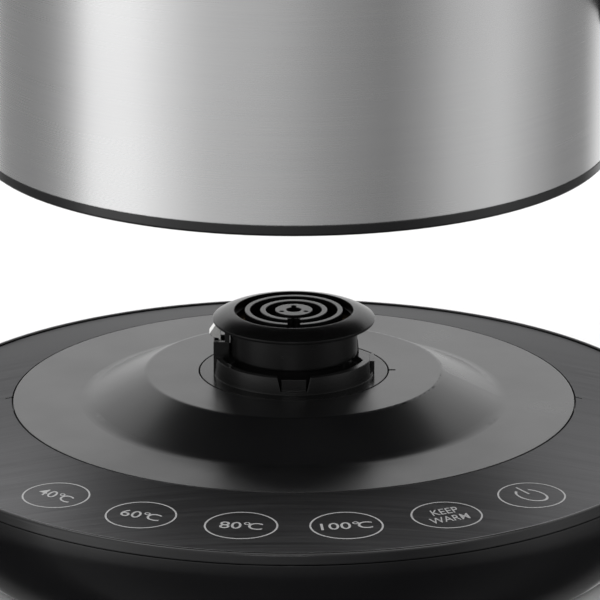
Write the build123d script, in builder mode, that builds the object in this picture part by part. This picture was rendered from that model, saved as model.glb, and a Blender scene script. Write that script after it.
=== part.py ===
from build123d import *
import os
from math import sqrt

os.makedirs("parts", exist_ok=True)

# Cordless electric kettle lifted above its round power base, in millimetres.
# +Z is up, the table is Z = 0 and the connector's axis is X = Y = 0.
# The touch keys face -Y, the handle points to +X and the spout to -X.

# ---------------------------------------------------------------- driving sizes
# Power base
base_radius = 97.3  # widest, at the rim band
foot_edge_radius = 85.4  # where the curved side meets the underside
deck_height = 35.0  # table to the flat of the centre disc
foot_height = 1.2  # how far the rubber ring lifts the underside
base_wall = 2.4
rim_crest_drop = 5.35  # crest of the rim below the deck
rim_lip = 1.35  # width of the rim that shows around the brushed plate
band_height = 3.1  # rim band, crest to parting groove
part_groove = 0.35  # parting groove between the two housings
plate_drop = 5.8  # fall of the brushed plate from its inner to its outer edge
plate_thickness = 1.2
disc_radius = 70.0  # round seam between brushed plate and centre disc
disc_thickness = 2.0
seam_gap = 0.4  # width of every dark seam between cover pieces
mound_foot_radius = 51.5
mound_top_radius = 36.9
mound_rise = 7.1
tick_length = 1.6  # short locating slots at the seams
tick_width = 0.85

# 360 degree connector
flange_radius = 23.5
collar_foot_radius = 20.0
collar_top_radius = 19.6
collar_wall = 1.6
collar_height = 4.35
neck_radius = 15.8
neck_foot = 4.55  # neck's lower edge above the mound's top
cap_radius = 20.2
cap_underside = 13.05  # above the mound's top
connector_height = 15.75  # top of the cap above the mound's top
cap_mouth_radius = 14.8
outer_wall_radii = (10.9, 12.1)  # ring walls between the contact slots
inner_wall_radii = (7.0, 8.3)
post_radius = 4.6
slot_depth = 10.4
ring_break = 3.2  # gap in both ring walls at the front

# Touch keys
key_count = 6
key_circle_radius = 84.6
key_step = 16.8  # degrees between neighbours

# Kettle
lift_height = 65.96  # how far the kettle stands above its seated place
body_radius = 77.54
body_wall = 0.7
trim_height = 2.6
taper_start = 60.0  # straight below, gently tapered above
body_height = 172.0
body_top_radius = 66.0
floor_level = 40.0  # top of the vessel's floor
sensor_spot = (-50.0, 34.0)
cover_recess = 0.5  # bottom cover above the trim ring's lower edge
seat_gap = 0.1  # bottom cover above the deck when seated
mound_clearance = 0.6
socket_clearance = 1.1  # around the connector's cap
opening_radius = 53.0  # lid opening in the collar
collar_rise = 9.0  # top collar above the steel body
lid_gap = 0.6
lid_dome = 5.8
hinge_reach = 57.0  # hinge axis from the kettle's axis
pin_radius = 1.5
running_gap = 0.05  # radial, pin in its barrel
spout_reach = 31.0  # spout's nose beyond the body
spout_drop = 56.0  # spout's pointed foot below the body's top edge
spout_foot_reach = 79.0  # pointed foot from the kettle's axis
spout_rise = 12.0  # spout's blank above the body's top edge, before its lip is cut
spout_wall = 0.9
window_width = 22.0  # pouring window in the steel body
window_height = 22.0
window_drop = 7.0  # top of the window below the body's top edge

# Handle
spine_width = 43.0
spine_foot = 33.0  # spine's lower end above the trim ring's lower edge
spine_thickness = 3.0
grip_width = 32.0
grip_thickness = 20.0
grip_reach = 120.0  # centre line of the grip from the kettle's axis
grip_bend = 30.0
grip_foot = 50.0  # grip's lower bend above the trim ring's lower edge
grip_foot_fall = 6.0  # the grip drops this much from the lower bend to the body
grip_wall = 2.4
shell_split = 3.0  # parting line from the grip's centre line, towards the fingers
button_size = (17.0, 19.0)
button_centre = 86.0
button_travel = 3.0
button_proud = 1.3

screw_radius = 1.45
screw_hole_radius = 1.5
screw_head_radius = 2.8
screw_head_height = 1.8
clearance = 0.2  # between pieces of one assembly that don't move

# ---------------------------------------------------------------- worked out
groove_level = deck_height - rim_crest_drop - band_height
housing_radius = base_radius - 0.3
plate_inner = disc_radius + seam_gap / 2
plate_outer = base_radius - rim_lip - seam_gap
plate_slope = plate_drop / (plate_outer - disc_radius)
mound_top = deck_height + mound_rise
collar_top = mound_top + collar_height
neck_level = mound_top + neck_foot
cap_level = mound_top + cap_underside
connector_top = mound_top + connector_height
kettle_level = deck_height + seat_gap - cover_recess + lift_height
body_foot = kettle_level + trim_height
taper_level = kettle_level + taper_start
body_top = kettle_level + body_height
floor_top = kettle_level + floor_level
collar_crest = body_top + collar_rise
hinge_level = collar_crest + 3.4
grip_level = body_top
key_angles = [key_step * (i - (key_count - 1) / 2) - 90 for i in range(key_count)]


def plate_height(radius):
    """Top of the brushed plate at a radius."""
    return deck_height - plate_slope * (radius - disc_radius)


def polar_spots(radius, angles):
    """Points on a circle, for angles in degrees."""
    return [Vector(radius, 0, 0).rotate(Axis.Z, a) for a in angles]


def body_form(grow, low, high):
    """The kettle body's outer form, grown sideways, between two heights."""
    with BuildPart() as form:
        with BuildSketch(Plane.XZ):
            with BuildLine():
                corner = (body_radius + grow, taper_level)
                shoulder = (body_top_radius + grow, body_top)
                Polyline((0, body_top), (0, kettle_level), (corner[0], kettle_level), corner)
                TangentArc(corner, shoulder, tangent=(0, 1))
                Line(shoulder, (0, body_top))
            make_face()
        revolve(axis=Axis.Z)
        with BuildSketch(Plane.XY.offset(low)):
            Circle(body_radius + 50)
        extrude(amount=high - low, mode=Mode.INTERSECT)
    return form.part


def sector(inner, outer, start, end, low, high):
    """A flat ring piece between two angles, in degrees from +X."""
    with BuildPart() as piece:
        with BuildSketch(Plane.XY.offset(low)):
            with BuildLine():
                rays = polar_spots(outer * 2, [start, (start + end) / 2, end])
                Polyline((0, 0), *rays, close=True)
            make_face()
            Circle(outer, mode=Mode.INTERSECT)
            Circle(inner, mode=Mode.SUBTRACT)
        extrude(amount=high - low)
    return piece.part


def screw_set(plane, spots, length):
    """Cross-head screws with their heads' outer faces on the plane, shanks going behind it."""
    with BuildPart() as group:
        with BuildSketch(plane):
            with Locations(*spots):
                Circle(screw_head_radius)
        extrude(amount=-screw_head_height)
        with BuildSketch(plane):
            with Locations(*spots):
                Circle(screw_radius)
        extrude(amount=-length)
        with BuildSketch(plane):
            with Locations(*spots):
                Rectangle(screw_head_radius * 1.3, 0.7)
                Rectangle(0.7, screw_head_radius * 1.3)
        extrude(amount=-0.9, mode=Mode.SUBTRACT)
    return group.part


# ================================================================ power base
side_run = housing_radius - foot_edge_radius
side_rise = groove_level - foot_height
side_radius = (side_run**2 + side_rise**2) / (2 * side_run)
floor_inside = foot_height + base_wall
inner_foot = housing_radius - side_radius + sqrt(
    (side_radius - base_wall) ** 2 - (groove_level - floor_inside) ** 2
)
foot_ring_radii = (foot_edge_radius - 10, foot_edge_radius - 2.6)
foot_recess = 1.0
boss_circle = disc_radius - 3.4
boss_spots = polar_spots(boss_circle, [25, 155, 205, 335])
boss_radius = 3.8
boss_meet = 14.0
board_level = 10.0
board_thickness = 1.6
board_size = (104.0, 70.0)
board_shift = 14.0
board_pillars = [(x, y + board_shift) for x in (-46, 46) for y in (-29, 29)]
touch_level = 21.6
touch_radii = (key_circle_radius - 10.5, key_circle_radius + 4.5)
touch_half_angle = 50
touch_pillars = polar_spots(key_circle_radius - 7, [-90 - 40, -90, -90 + 40])
gland_level = 11.0
gland_radius = 6.0
cord_bore = 3.6

with BuildPart() as base_lower_housing:
    with BuildSketch(Plane.XZ):
        with BuildLine():
            rim_point = (housing_radius, groove_level)
            inner_rim = (housing_radius - base_wall, groove_level)
            TangentArc(rim_point, (foot_edge_radius, foot_height), tangent=(0, -1))
            Polyline((foot_edge_radius, foot_height), (0, foot_height), (0, floor_inside))
            Line((0, floor_inside), (inner_foot, floor_inside))
            TangentArc(inner_rim, (inner_foot, floor_inside), tangent=(0, -1))
            Line(rim_point, inner_rim)
        make_face()
    revolve(axis=Axis.Z)
    with BuildSketch(Plane.XY.offset(foot_height)):
        Circle(foot_ring_radii[1] + clearance)
        Circle(foot_ring_radii[0] - clearance, mode=Mode.SUBTRACT)
    extrude(amount=foot_recess, mode=Mode.SUBTRACT)
    with BuildSketch(Plane.XY.offset(floor_inside)):
        with Locations(*boss_spots):
            Circle(boss_radius)
    extrude(amount=boss_meet - floor_inside)
    with BuildSketch(Plane.XY.offset(floor_inside)):
        with Locations(*board_pillars):
            Circle(2.6)
    extrude(amount=board_level - floor_inside)
    with BuildSketch(Plane.XY.offset(floor_inside)):
        with Locations(*touch_pillars):
            Circle(2.6)
    extrude(amount=touch_level - floor_inside)
    with BuildSketch(Plane.XY.offset(foot_height)):
        with Locations(*boss_spots):
            Circle(screw_head_radius + clearance)
    extrude(amount=boss_meet - foot_height - 3, mode=Mode.SUBTRACT)
    with BuildSketch(Plane.XY.offset(foot_height)):
        with Locations(*boss_spots):
            Circle(screw_hole_radius + clearance)
    extrude(amount=boss_meet, mode=Mode.SUBTRACT)
    with BuildSketch(Plane.XY.offset(board_level)):
        with Locations(*board_pillars):
            Circle(screw_hole_radius)
    extrude(amount=-(board_level - floor_inside), mode=Mode.SUBTRACT)
    with BuildSketch(Plane.XZ.offset(-base_radius)):
        with Locations((0, gland_level)):
            Circle(gland_radius + clearance)
    extrude(amount=20, mode=Mode.SUBTRACT)
base_lower_housing.part.label = "base_lower_housing"
export_step(base_lower_housing.part, "parts/base_lower_housing.step")

with BuildPart() as base_foot_ring:
    with BuildSketch():
        Circle(foot_ring_radii[1])
        Circle(foot_ring_radii[0], mode=Mode.SUBTRACT)
    extrude(amount=foot_height + foot_recess)
    lower_edges = base_foot_ring.edges().group_by(Axis.Z)[0]
    chamfer(lower_edges, 0.4)
base_foot_ring.part.label = "base_foot_ring"
export_step(base_foot_ring.part, "parts/base_foot_ring.step")

rim_crest = deck_height - rim_crest_drop
rim_inner = base_radius - rim_lip
shelf_gap = plate_thickness + 0.05
shelf_thickness = 2.0
spigot_outer = housing_radius - base_wall - clearance
spigot_inner = spigot_outer - 1.6
spigot_depth = 3.0
disc_ledge_top = deck_height - disc_thickness - 0.05
ledge_inner = boss_circle - 3.2
ledge_wall = plate_inner - 0.1
shelf_under_outer = plate_height(spigot_inner) - shelf_gap - shelf_thickness

with BuildPart() as base_upper_housing:
    with BuildSketch(Plane.XZ):
        with BuildLine():
            Polyline(
                (base_radius, groove_level + part_groove),
                (base_radius, rim_crest),
                (rim_inner, rim_crest),
                (rim_inner, plate_height(rim_inner) - shelf_gap),
                (ledge_wall, plate_height(ledge_wall) - shelf_gap),
                (ledge_wall, disc_ledge_top),
                (ledge_inner, disc_ledge_top),
                (ledge_inner, disc_ledge_top - shelf_thickness),
                (disc_radius + 2, disc_ledge_top - shelf_thickness),
                (spigot_inner, shelf_under_outer),
                (spigot_inner, groove_level - spigot_depth),
                (spigot_outer, groove_level - spigot_depth),
                (spigot_outer, groove_level + part_groove),
                close=True,
            )
        make_face()
    revolve(axis=Axis.Z)
    crest_edges = base_upper_housing.edges().filter_by(GeomType.CIRCLE)
    crest_edges = crest_edges.filter_by_position(Axis.Z, rim_crest - 0.01, rim_crest + 0.01)
    fillet(crest_edges.sort_by(SortBy.RADIUS)[-1], 0.85)
    chamfer(crest_edges.sort_by(SortBy.RADIUS)[0], 0.2)
    with BuildSketch(Plane.XY.offset(boss_meet + clearance)):
        with Locations(*boss_spots):
            Circle(boss_radius)
    extrude(amount=disc_ledge_top - shelf_thickness - boss_meet)
    with BuildSketch(Plane.XY.offset(boss_meet)):
        with Locations(*boss_spots):
            Circle(screw_hole_radius)
    extrude(amount=12, mode=Mode.SUBTRACT)
base_upper_housing.part.label = "base_upper_housing"
export_step(base_upper_housing.part, "parts/base_upper_housing.step")

with BuildPart() as brushed_top_plate:
    with BuildSketch(Plane.XZ):
        with BuildLine():
            Polyline(
                (plate_inner, plate_height(plate_inner)),
                (plate_outer, plate_height(plate_outer)),
                (plate_outer, plate_height(plate_outer) - plate_thickness),
                (plate_inner, plate_height(plate_inner) - plate_thickness),
                close=True,
            )
        make_face()
    revolve(axis=Axis.Z)
    with BuildSketch(Plane.XY.offset(deck_height - 4)):
        with Locations((plate_inner, 0), (-plate_inner, 0)):
            Rectangle(tick_length * 2, tick_width)
    extrude(amount=8, mode=Mode.SUBTRACT)
brushed_top_plate.part.label = "brushed_top_plate"
export_step(brushed_top_plate.part, "parts/brushed_top_plate.step")

disc_outer = disc_radius - seam_gap / 2
disc_inner = flange_radius + seam_gap / 2
stub_spots = polar_spots(flange_radius + 5, [60, 180 + 60])
under_disc = mound_top - disc_thickness

with BuildPart() as centre_disc:
    with BuildSketch(Plane.XZ):
        with BuildLine():
            Polyline(
                (disc_inner, mound_top),
                (mound_top_radius, mound_top),
                (mound_foot_radius, deck_height),
                (disc_outer, deck_height),
                (disc_outer, deck_height - disc_thickness),
                (mound_foot_radius - 1, deck_height - disc_thickness),
                (mound_top_radius - 1, under_disc),
                (disc_inner, under_disc),
                close=True,
            )
        make_face()
    revolve(axis=Axis.Z)
    rings = centre_disc.edges().filter_by(GeomType.CIRCLE)
    top_rings = rings.filter_by_position(Axis.Z, mound_top - 0.01, mound_top + 0.01)
    fillet(top_rings.sort_by(SortBy.RADIUS)[-1], 2.0)
    rings = centre_disc.edges().filter_by(GeomType.CIRCLE)
    deck_rings = rings.filter_by_position(Axis.Z, deck_height - 0.01, deck_height + 0.01)
    fillet(deck_rings.sort_by(SortBy.RADIUS)[0], 7.0)
    with BuildSketch(Plane.XY.offset(under_disc - 5)):
        with Locations(*stub_spots):
            Circle(3.0)
    extrude(amount=6)
    with BuildSketch(Plane.XY.offset(under_disc - 5)):
        with Locations(*stub_spots):
            Circle(screw_hole_radius)
    extrude(amount=5.5, mode=Mode.SUBTRACT)
    with BuildSketch(Plane.XY.offset(under_disc - 0.5)):
        with Locations((disc_inner, 0)):
            Rectangle(tick_length * 2, tick_width)
    extrude(amount=3, mode=Mode.SUBTRACT)
centre_disc.part.label = "centre_disc"
export_step(centre_disc.part, "parts/centre_disc.step")

# ---------------------------------------------------------------- connector
collar_inner = collar_top_radius - collar_wall
core_radius = neck_radius - 1.3
slot_floor = connector_top - slot_depth
core_foot = deck_height - 14.0
window_tabs = {  # direction of the window: tab's face radius, its drop below the collar's top
    0: (collar_foot_radius, 1.0),
    90: (collar_top_radius - 0.5, 0.6),
    270: (collar_top_radius - 0.5, 0.6),
}
open_side = (-18, 35)  # the collar is cut down between these directions
window_top = 8.6
window_foot = 6.5
window_sill = mound_top + 0.8
tab_width = 6.1
bracket_reach = 19.9
bracket_width = 6.8
bracket_top = mound_top + 8.4
post_reach = 17.1
finger_width = 4.0
finger_thickness = 0.5
finger_reach = 20.95
finger_leg = 18.6
finger_travel = 0.9
slot_outer = finger_leg + 1.05
slot_inner = finger_leg - finger_thickness - finger_travel - 0.35
finger_low = mound_top + 8.9
finger_high = mound_top + 12.3

with BuildPart() as connector_base:
    with BuildSketch(Plane.XZ):
        with BuildLine():
            Polyline(
                (flange_radius - seam_gap / 2, mound_top),
                (collar_foot_radius, mound_top),
                (collar_top_radius, collar_top),
                (collar_inner, collar_top),
                (collar_inner, mound_top - 1.2),
                (core_radius + clearance, mound_top - 1.2),
                (core_radius + clearance, core_foot + 4),
                (core_radius + 1.9, core_foot + 4),
                (core_radius + 1.9, mound_top - 3.2),
                (flange_radius - seam_gap / 2, mound_top - 3.2),
                close=True,
            )
        make_face()
    revolve(axis=Axis.Z)
    opening = sector(core_radius + 2, collar_foot_radius + 1, *open_side, window_sill, collar_top + 1)
    add(opening, mode=Mode.SUBTRACT)
    for angle, (tab_face, tab_drop) in window_tabs.items():
        outward = Plane(origin=(0, 0, 0), z_dir=Vector(1, 0, 0).rotate(Axis.Z, angle), x_dir=(0, 0, 1))
        with BuildSketch(outward.offset(core_radius + 2)):
            with BuildLine():
                Polyline(
                    (window_sill, -window_foot / 2),
                    (window_sill, window_foot / 2),
                    (collar_top + 1, window_top / 2),
                    (collar_top + 1, -window_top / 2),
                    close=True,
                )
            make_face()
        extrude(amount=6, mode=Mode.SUBTRACT)
        with BuildSketch(outward.offset(tab_face)):
            with Locations(((window_sill - 1 + collar_top - tab_drop) / 2, 0)):
                Rectangle(collar_top - tab_drop - window_sill + 1, tab_width)
        extrude(amount=-collar_wall * 0.75)
    with BuildSketch(Plane.XY.offset(mound_top - 1)):
        with Locations((-(bracket_reach + neck_radius + 0.15) / 2, 0)):
            Rectangle(bracket_reach - neck_radius - 0.15, bracket_width)
    extrude(amount=bracket_top - mound_top + 1)
    with BuildSketch(Plane.XY.offset(mound_top - 2)):
        with Locations((-(slot_outer + slot_inner) / 2, 0)):
            Rectangle(slot_outer - slot_inner, finger_width + 0.6)
    extrude(amount=bracket_top - mound_top + 3, mode=Mode.SUBTRACT)
connector_base.part.label = "connector_base"
export_step(connector_base.part, "parts/connector_base.step")

socket_slot = cap_mouth_radius - 0.3
break_reach = socket_slot - inner_wall_radii[0]
contact_height = 6.0
contact_thickness = 0.45
tail_width = 2.4
contact_rings = {  # outer radius, direction of the tail
    "contact_live": (socket_slot - 0.25, 0),
    "contact_neutral": (outer_wall_radii[0] - 0.4, 180),
    "contact_sensor": (inner_wall_radii[0] - 0.25, 90),
}

with BuildPart() as connector_body:
    with BuildSketch(Plane.XZ):
        with BuildLine():
            Polyline(
                (0, core_foot),
                (core_radius, core_foot),
                (core_radius, neck_level),
                (neck_radius, neck_level),
                (neck_radius, connector_top - 1.9),
                (socket_slot, connector_top - 1.9),
                (socket_slot, slot_floor),
                (outer_wall_radii[1], slot_floor),
                (outer_wall_radii[1], connector_top),
                (outer_wall_radii[0], connector_top),
                (outer_wall_radii[0], slot_floor),
                (inner_wall_radii[1], slot_floor),
                (inner_wall_radii[1], connector_top),
                (inner_wall_radii[0], connector_top),
                (inner_wall_radii[0], slot_floor),
                (post_radius, slot_floor),
                (post_radius, connector_top),
                (0, connector_top),
                close=True,
            )
        make_face()
    revolve(axis=Axis.Z)
    neck_rings = connector_body.edges().filter_by(GeomType.CIRCLE)
    neck_rings = neck_rings.filter_by_position(Axis.Z, neck_level - 0.01, neck_level + 0.01)
    fillet(neck_rings.sort_by(SortBy.RADIUS)[-1], 0.7)
    with BuildSketch(Plane.XY.offset(connector_top)):
        with Locations((0, -(inner_wall_radii[0] + break_reach / 2))):
            Rectangle(ring_break, break_reach)
    extrude(amount=-slot_depth + 1, mode=Mode.SUBTRACT)
    with BuildSketch(Plane.XY.offset(connector_top)):
        Circle(1.9)
        with Locations((0, 2.0)):
            SlotOverall(3.0, 1.3, rotation=90)
        with Locations((-3.0, -1.4), (3.0, -1.4)):
            Circle(0.6)
    extrude(amount=-slot_depth, mode=Mode.SUBTRACT)
    with BuildSketch(Plane.XY.offset(core_foot)):
        Circle(core_radius - 2)
    extrude(amount=slot_floor - core_foot - 2, mode=Mode.SUBTRACT)
    for contact_radius, tail_angle in contact_rings.values():
        tail_plane = Plane.XY.offset(slot_floor).rotated((0, 0, tail_angle))
        with BuildSketch(tail_plane):
            with Locations((contact_radius - contact_thickness / 2, 0)):
                Rectangle(contact_thickness + 0.4, tail_width + 0.6)
        extrude(amount=core_foot - slot_floor - 1, mode=Mode.SUBTRACT)
connector_body.part.label = "connector_body"
export_step(connector_body.part, "parts/connector_body.step")

with BuildPart() as connector_cap:
    with BuildSketch(Plane.XZ):
        with BuildLine():
            mouth = (cap_mouth_radius, connector_top)
            brim = (cap_radius - 0.1, cap_level + 0.75)
            RadiusArc(mouth, brim, 12.0)
            Polyline(
                brim,
                (cap_radius - 0.15, cap_level + 0.25),
                (cap_radius - 0.4, cap_level),
                (neck_radius + 0.05, cap_level),
                (neck_radius + 0.05, connector_top - 1.85),
                (cap_mouth_radius, connector_top - 1.85),
                mouth,
            )
        make_face()
    revolve(axis=Axis.Z)
connector_cap.part.label = "connector_cap"
export_step(connector_cap.part, "parts/connector_cap.step")

# Ring contacts in the three slots, each with a tail through the slot's floor.
for contact_name, (contact_radius, tail_angle) in contact_rings.items():
    with BuildPart() as contact:
        with BuildSketch(Plane.XY.offset(slot_floor + 0.05)):
            Circle(contact_radius)
            Circle(contact_radius - contact_thickness, mode=Mode.SUBTRACT)
            with Locations((0, -contact_radius)):
                Rectangle(ring_break + 1, 3, mode=Mode.SUBTRACT)
        extrude(amount=contact_height)
        with BuildSketch(Plane.XY.offset(slot_floor + 0.5).rotated((0, 0, tail_angle))):
            with Locations((contact_radius - contact_thickness / 2, 0)):
                Rectangle(contact_thickness - 0.05, tail_width)
        extrude(amount=core_foot - slot_floor + 1)
    contact.part.label = contact_name
    export_step(contact.part, f"parts/{contact_name}.step")

with BuildPart() as earth_contact:
    with BuildSketch(Plane.XZ.offset(-finger_width / 2)):
        with BuildLine():
            Polyline(
                (-finger_leg + finger_thickness, mound_top + 0.3),
                (-finger_leg, mound_top + 0.3),
                (-finger_leg, finger_low),
                (-finger_reach + 0.9, finger_low + 0.3),
                (-finger_reach, finger_low + 1.2),
                (-finger_leg - 0.9, finger_high),
                (-finger_leg + finger_thickness, finger_high),
                close=True,
            )
        make_face()
    extrude(amount=finger_width)
earth_contact.part.label = "earth_contact"
export_step(earth_contact.part, "parts/earth_contact.step")

with BuildPart() as earth_post:
    with BuildSketch(Plane.XY.offset(bracket_top + 0.05)):
        with Locations((-(post_reach + neck_radius + 0.1) / 2, 0)):
            Rectangle(post_reach - neck_radius - 0.1, bracket_width)
    extrude(amount=cap_level - bracket_top - 0.1)
    with BuildSketch(Plane.XY.offset(bracket_top)):
        Circle(neck_radius + 0.1)
    extrude(amount=cap_level - bracket_top, mode=Mode.SUBTRACT)
earth_post.part.label = "earth_post"
export_step(earth_post.part, "parts/earth_post.step")

# ---------------------------------------------------------------- inside the base
with BuildPart() as touch_board:
    add(sector(*touch_radii, -90 - touch_half_angle, -90 + touch_half_angle, touch_level,
               touch_level + board_thickness))
touch_board.part.label = "touch_board"
export_step(touch_board.part, "parts/touch_board.step")

electrode_top = plate_height(key_circle_radius + 5) - shelf_gap - shelf_thickness - 0.2
with BuildPart() as key_electrodes:
    with BuildSketch(Plane.XY.offset(touch_level + board_thickness)):
        with Locations(*polar_spots(key_circle_radius, key_angles)):
            Circle(3.6)
            Circle(2.8, mode=Mode.SUBTRACT)
    extrude(amount=electrode_top - touch_level - board_thickness)
key_electrodes.part.label = "key_electrodes"
export_step(key_electrodes.part, "parts/key_electrodes.step")

with BuildPart() as key_lamps:
    with BuildSketch(Plane.XY.offset(touch_level + board_thickness)):
        with Locations(*polar_spots(key_circle_radius, key_angles)):
            Rectangle(1.6, 1.6)
    extrude(amount=1.0)
key_lamps.part.label = "key_lamps"
export_step(key_lamps.part, "parts/key_lamps.step")

board_top = board_level + board_thickness
with BuildPart() as power_board:
    with BuildSketch(Plane.XY.offset(board_level)):
        with Locations((0, board_shift)):
            RectangleRounded(*board_size, 3)
        with Locations(*board_pillars):
            Circle(screw_hole_radius + clearance, mode=Mode.SUBTRACT)
    extrude(amount=board_thickness)
power_board.part.label = "power_board"
export_step(power_board.part, "parts/power_board.step")

parts_on_board = {
    "power_relay": ((34, 30), (20, 15.5), 15.0),
    "power_transformer": ((-32, 28), (26, 22), 17.0),
    "terminal_block": ((0, 40), (24, 10), 11.0),
}
for part_name, (spot, footprint, height) in parts_on_board.items():
    with BuildPart() as component:
        with BuildSketch(Plane.XY.offset(board_top)):
            with Locations(spot):
                RectangleRounded(*footprint, 1.0)
        extrude(amount=height)
        chamfer(component.edges().group_by(Axis.Z)[-1], 0.5)
    component.part.label = part_name
    export_step(component.part, f"parts/{part_name}.step")

with BuildPart() as buzzer:
    with BuildSketch(Plane.XY.offset(board_top)):
        with Locations((36, -8)):
            Circle(6)
    extrude(amount=7.5)
    with BuildSketch(Plane.XY.offset(board_top + 7.5)):
        with Locations((36, -8)):
            Circle(1.2)
    extrude(amount=-2, mode=Mode.SUBTRACT)
buzzer.part.label = "buzzer"
export_step(buzzer.part, "parts/buzzer.step")

with BuildPart() as board_screws:
    add(screw_set(Plane.XY.offset(board_top + screw_head_height), board_pillars, 7))
board_screws.part.label = "board_screws"
export_step(board_screws.part, "parts/board_screws.step")

with BuildPart() as base_screws:
    boss_screw_face = Plane.XY.offset(boss_meet - 3 - screw_head_height).rotated((180, 0, 0))
    add(screw_set(boss_screw_face, boss_spots, 12))
base_screws.part.label = "base_screws"
export_step(base_screws.part, "parts/base_screws.step")

wall_centre = housing_radius - side_radius
gland_face = wall_centre + sqrt(side_radius**2 - (groove_level - gland_level) ** 2)
gland_length = gland_face + 1.6 - inner_foot + 6
with BuildPart() as cord_gland:
    with BuildSketch(Plane.XZ.offset(-gland_face - 1.6)):
        with Locations((0, gland_level)):
            Circle(gland_radius)
    extrude(amount=gland_length)
    with BuildSketch(Plane.XZ.offset(-inner_foot + 4)):
        with Locations((0, gland_level)):
            Circle(gland_radius + 0.9)
    extrude(amount=2)
    chamfer(cord_gland.edges().group_by(Axis.Y)[-1], 0.5)
    with BuildSketch(Plane.XZ.offset(-gland_face - 1.6)):
        with Locations((0, gland_level)):
            Circle(cord_bore)
    extrude(amount=gland_length, mode=Mode.SUBTRACT)
cord_gland.part.label = "cord_gland"
export_step(cord_gland.part, "parts/cord_gland.step")

# ================================================================ kettle
z0 = kettle_level
trim_inner = body_radius - body_wall - 3.4
cover_plane = z0 + cover_recess
cover_thickness = 2.2
cover_top_radius = mound_top_radius + 1.7
cover_foot_radius = mound_foot_radius + 1.5
cover_rise = mound_rise + mound_clearance
socket_inner = cap_radius + socket_clearance
socket_wall = 1.8
socket_outer = socket_inner + socket_wall
cover_hole = socket_outer + 1.6
socket_foot = cover_plane + cover_rise - seat_gap
socket_ceiling = z0 + cover_recess - seat_gap + mound_rise + connector_height + 0.8
stud_circle = 62.0
stud_spots = polar_spots(stud_circle, [60, 180, 300])
stud_radius = 3.4
stud_foot = cover_plane + cover_thickness

with BuildPart() as bottom_trim_ring:
    with BuildSketch(Plane.XZ):
        with BuildLine():
            Polyline(
                (body_radius + 0.1, z0 + 0.5),
                (body_radius + 0.1, body_foot),
                (body_radius - body_wall - 0.1, body_foot),
                (body_radius - body_wall - 0.1, body_foot + 5),
                (body_radius - body_wall - 1.8, body_foot + 5),
                (body_radius - body_wall - 1.8, body_foot + 0.4),
                (trim_inner, body_foot + 0.4),
                (trim_inner, z0),
                (body_radius - 0.4, z0),
                close=True,
            )
        make_face()
    revolve(axis=Axis.Z)
bottom_trim_ring.part.label = "bottom_trim_ring"
export_step(bottom_trim_ring.part, "parts/bottom_trim_ring.step")

with BuildPart() as bottom_cover:
    with BuildSketch(Plane.XZ):
        with BuildLine():
            Polyline(
                (trim_inner - clearance, cover_plane),
                (cover_foot_radius, cover_plane),
                (cover_top_radius, socket_foot),
                (cover_hole, socket_foot),
                (cover_hole, socket_foot + cover_thickness),
                (cover_top_radius + 0.8, socket_foot + cover_thickness),
                (cover_foot_radius + 0.8, cover_plane + cover_thickness),
                (trim_inner - clearance, cover_plane + cover_thickness),
                close=True,
            )
        make_face()
    revolve(axis=Axis.Z)
    with BuildSketch(Plane.XY.offset(cover_plane)):
        with Locations(*stud_spots):
            Circle(screw_head_radius + clearance)
    extrude(amount=screw_head_height + 0.2, mode=Mode.SUBTRACT)
    with BuildSketch(Plane.XY.offset(cover_plane)):
        with Locations(*stud_spots):
            Circle(screw_hole_radius + clearance)
    extrude(amount=cover_thickness, mode=Mode.SUBTRACT)
bottom_cover.part.label = "bottom_cover"
export_step(bottom_cover.part, "parts/bottom_cover.step")

with BuildPart() as bottom_screws:
    cover_screw_face = Plane.XY.offset(cover_plane + 0.1).rotated((180, 0, 0))
    add(screw_set(cover_screw_face, [(v.X, -v.Y) for v in stud_spots], 9))
bottom_screws.part.label = "bottom_screws"
export_step(bottom_screws.part, "parts/bottom_screws.step")

# Female socket: the housing stays in the kettle, its ring blades go into the connector's slots.
with BuildPart() as socket_housing:
    with BuildSketch(Plane.XZ):
        with BuildLine():
            Polyline(
                (socket_inner, socket_foot),
                (cover_hole - clearance, socket_foot),
                (cover_hole - clearance, socket_foot + 1.2),
                (socket_outer, socket_foot + 1.2),
                (socket_outer, socket_foot + cover_thickness + clearance),
                (socket_outer + 3, socket_foot + cover_thickness + clearance),
                (socket_outer + 3, socket_foot + cover_thickness + 2),
                (socket_outer, socket_foot + cover_thickness + 2),
                (socket_outer, socket_ceiling + 4.2),
                (0, socket_ceiling + 4.2),
                (0, socket_ceiling + 2.4),
                (socket_inner, socket_ceiling + 2.4),
                close=True,
            )
        make_face()
    revolve(axis=Axis.Z)
    foot_rings = socket_housing.edges().filter_by(GeomType.CIRCLE).group_by(Axis.Z)[0]
    chamfer(foot_rings.sort_by(SortBy.RADIUS)[0], 0.6)
socket_housing.part.label = "socket_housing"
export_step(socket_housing.part, "parts/socket_housing.step")

blade_radii = [
    (outer_wall_radii[1] + 0.45, outer_wall_radii[1] + 1.15),
    (inner_wall_radii[1] + 0.4, inner_wall_radii[1] + 1.05),
    (post_radius + 0.4, post_radius + 1.1),
]
blade_depth = 7.0
with BuildPart() as socket_rings:
    with BuildSketch(Plane.XY.offset(socket_ceiling)):
        Circle(socket_inner - 0.3)
    extrude(amount=2.1)
    with BuildSketch(Plane.XY.offset(socket_ceiling)):
        for blade_inner, blade_outer in blade_radii:
            Circle(blade_outer)
            Circle(blade_inner, mode=Mode.SUBTRACT)
    extrude(amount=-blade_depth)
    with BuildSketch(Plane.XY.offset(socket_ceiling)):
        Circle(1.2)
    extrude(amount=-blade_depth)
socket_rings.part.label = "socket_rings"
export_step(socket_rings.part, "parts/socket_rings.step")

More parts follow.
